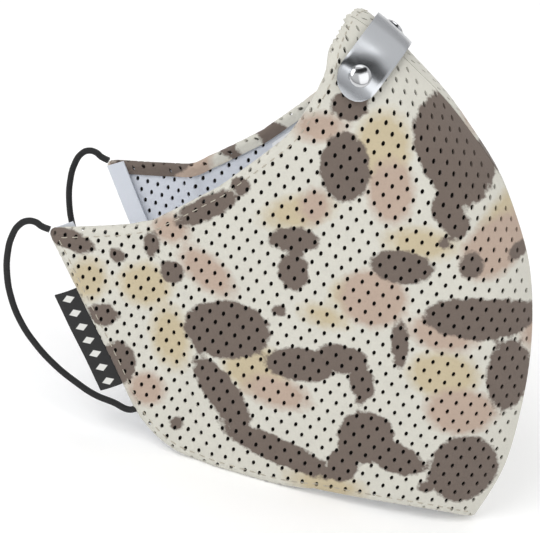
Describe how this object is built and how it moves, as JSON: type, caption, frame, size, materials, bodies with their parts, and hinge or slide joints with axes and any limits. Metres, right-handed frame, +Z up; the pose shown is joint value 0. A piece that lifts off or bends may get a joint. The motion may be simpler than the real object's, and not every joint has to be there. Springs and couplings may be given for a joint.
{
  "type": "face mask",
  "caption": "Fold-flat fabric face mask of perforated desert-camouflage mesh: centre seam, riveted metal nose clip, elastic ear loops and a side label.",
  "frame": {"origin": "middle of the mask's box, without the ear loops, at the level of the bottom hems", "axes": "+X out of the face towards the nose, +Y to the wearer's left, +Z up"},
  "size_m": [0.1431, 0.0546, 0.131],
  "materials": {
    "camo_mesh": "perforated knit, desert camouflage print",
    "filter_felt": "charcoal felt",
    "lining_mesh": "perforated white knit",
    "pocket_cloth": "plain white knit",
    "clip_metal": "polished bridge, satin legs",
    "rivet_metal": "polished",
    "elastic_cord": "braided round elastic",
    "label_tape": "woven tape"
  },
  "bodies": {
    "front": {"outer_front_right": "camo_mesh", "filter_front_right": "filter_felt", "lining_front_right": "lining_mesh", "pocket_right": "pocket_cloth", "rivet_right": "rivet_metal", "rivet_washer_right": "rivet_metal", "outer_front_left": "camo_mesh", "filter_front_left": "filter_felt", "lining_front_left": "lining_mesh", "pocket_left": "pocket_cloth", "rivet_left": "rivet_metal", "rivet_washer_left": "rivet_metal", "centre_seam_tape": "pocket_cloth", "nose_clip": "clip_metal"},
    "cheek_right": {"outer_cheek_right": "camo_mesh", "filter_cheek_right": "filter_felt", "lining_cheek_right": "lining_mesh", "ear_hem_right": "lining_mesh"},
    "loop_right": {"ear_loop_right": "elastic_cord"},
    "cheek_left": {"outer_cheek_left": "camo_mesh", "filter_cheek_left": "filter_felt", "lining_cheek_left": "lining_mesh", "ear_hem_left": "lining_mesh"},
    "loop_left": {"ear_loop_left": "elastic_cord"},
    "label": {"side_label": "label_tape"}
  },
  "joints": [
    {"name": "cheek_fold_right", "type": "hinge", "parent": "front", "child": "cheek_right", "pos_m": [0.02028, -0.01633, 0.00199], "axis": [-0.4954, -0.0547, 0.8669], "range_deg": [-12, 22]},
    {"name": "loop_swing_right", "type": "hinge", "parent": "cheek_right", "child": "loop_right", "pos_m": [-0.0329, -0.02212, 0.00959], "axis": [-0.5992, -0.0599, 0.7984], "range_deg": [-40, 75]},
    {"name": "cheek_fold_left", "type": "hinge", "parent": "front", "child": "cheek_left", "pos_m": [0.02028, 0.01633, 0.00199], "axis": [0.4954, -0.0547, -0.8669], "range_deg": [-12, 22]},
    {"name": "loop_swing_left", "type": "hinge", "parent": "cheek_left", "child": "loop_left", "pos_m": [-0.0329, 0.02212, 0.00959], "axis": [0.5992, -0.0599, -0.7984], "range_deg": [-40, 75]},
    {"name": "label_flip", "type": "hinge", "parent": "cheek_right", "child": "label", "pos_m": [-0.0329, -0.02212, 0.00959], "axis": [-0.5992, -0.0599, 0.7984], "range_deg": [-15, 80]}
  ]
}
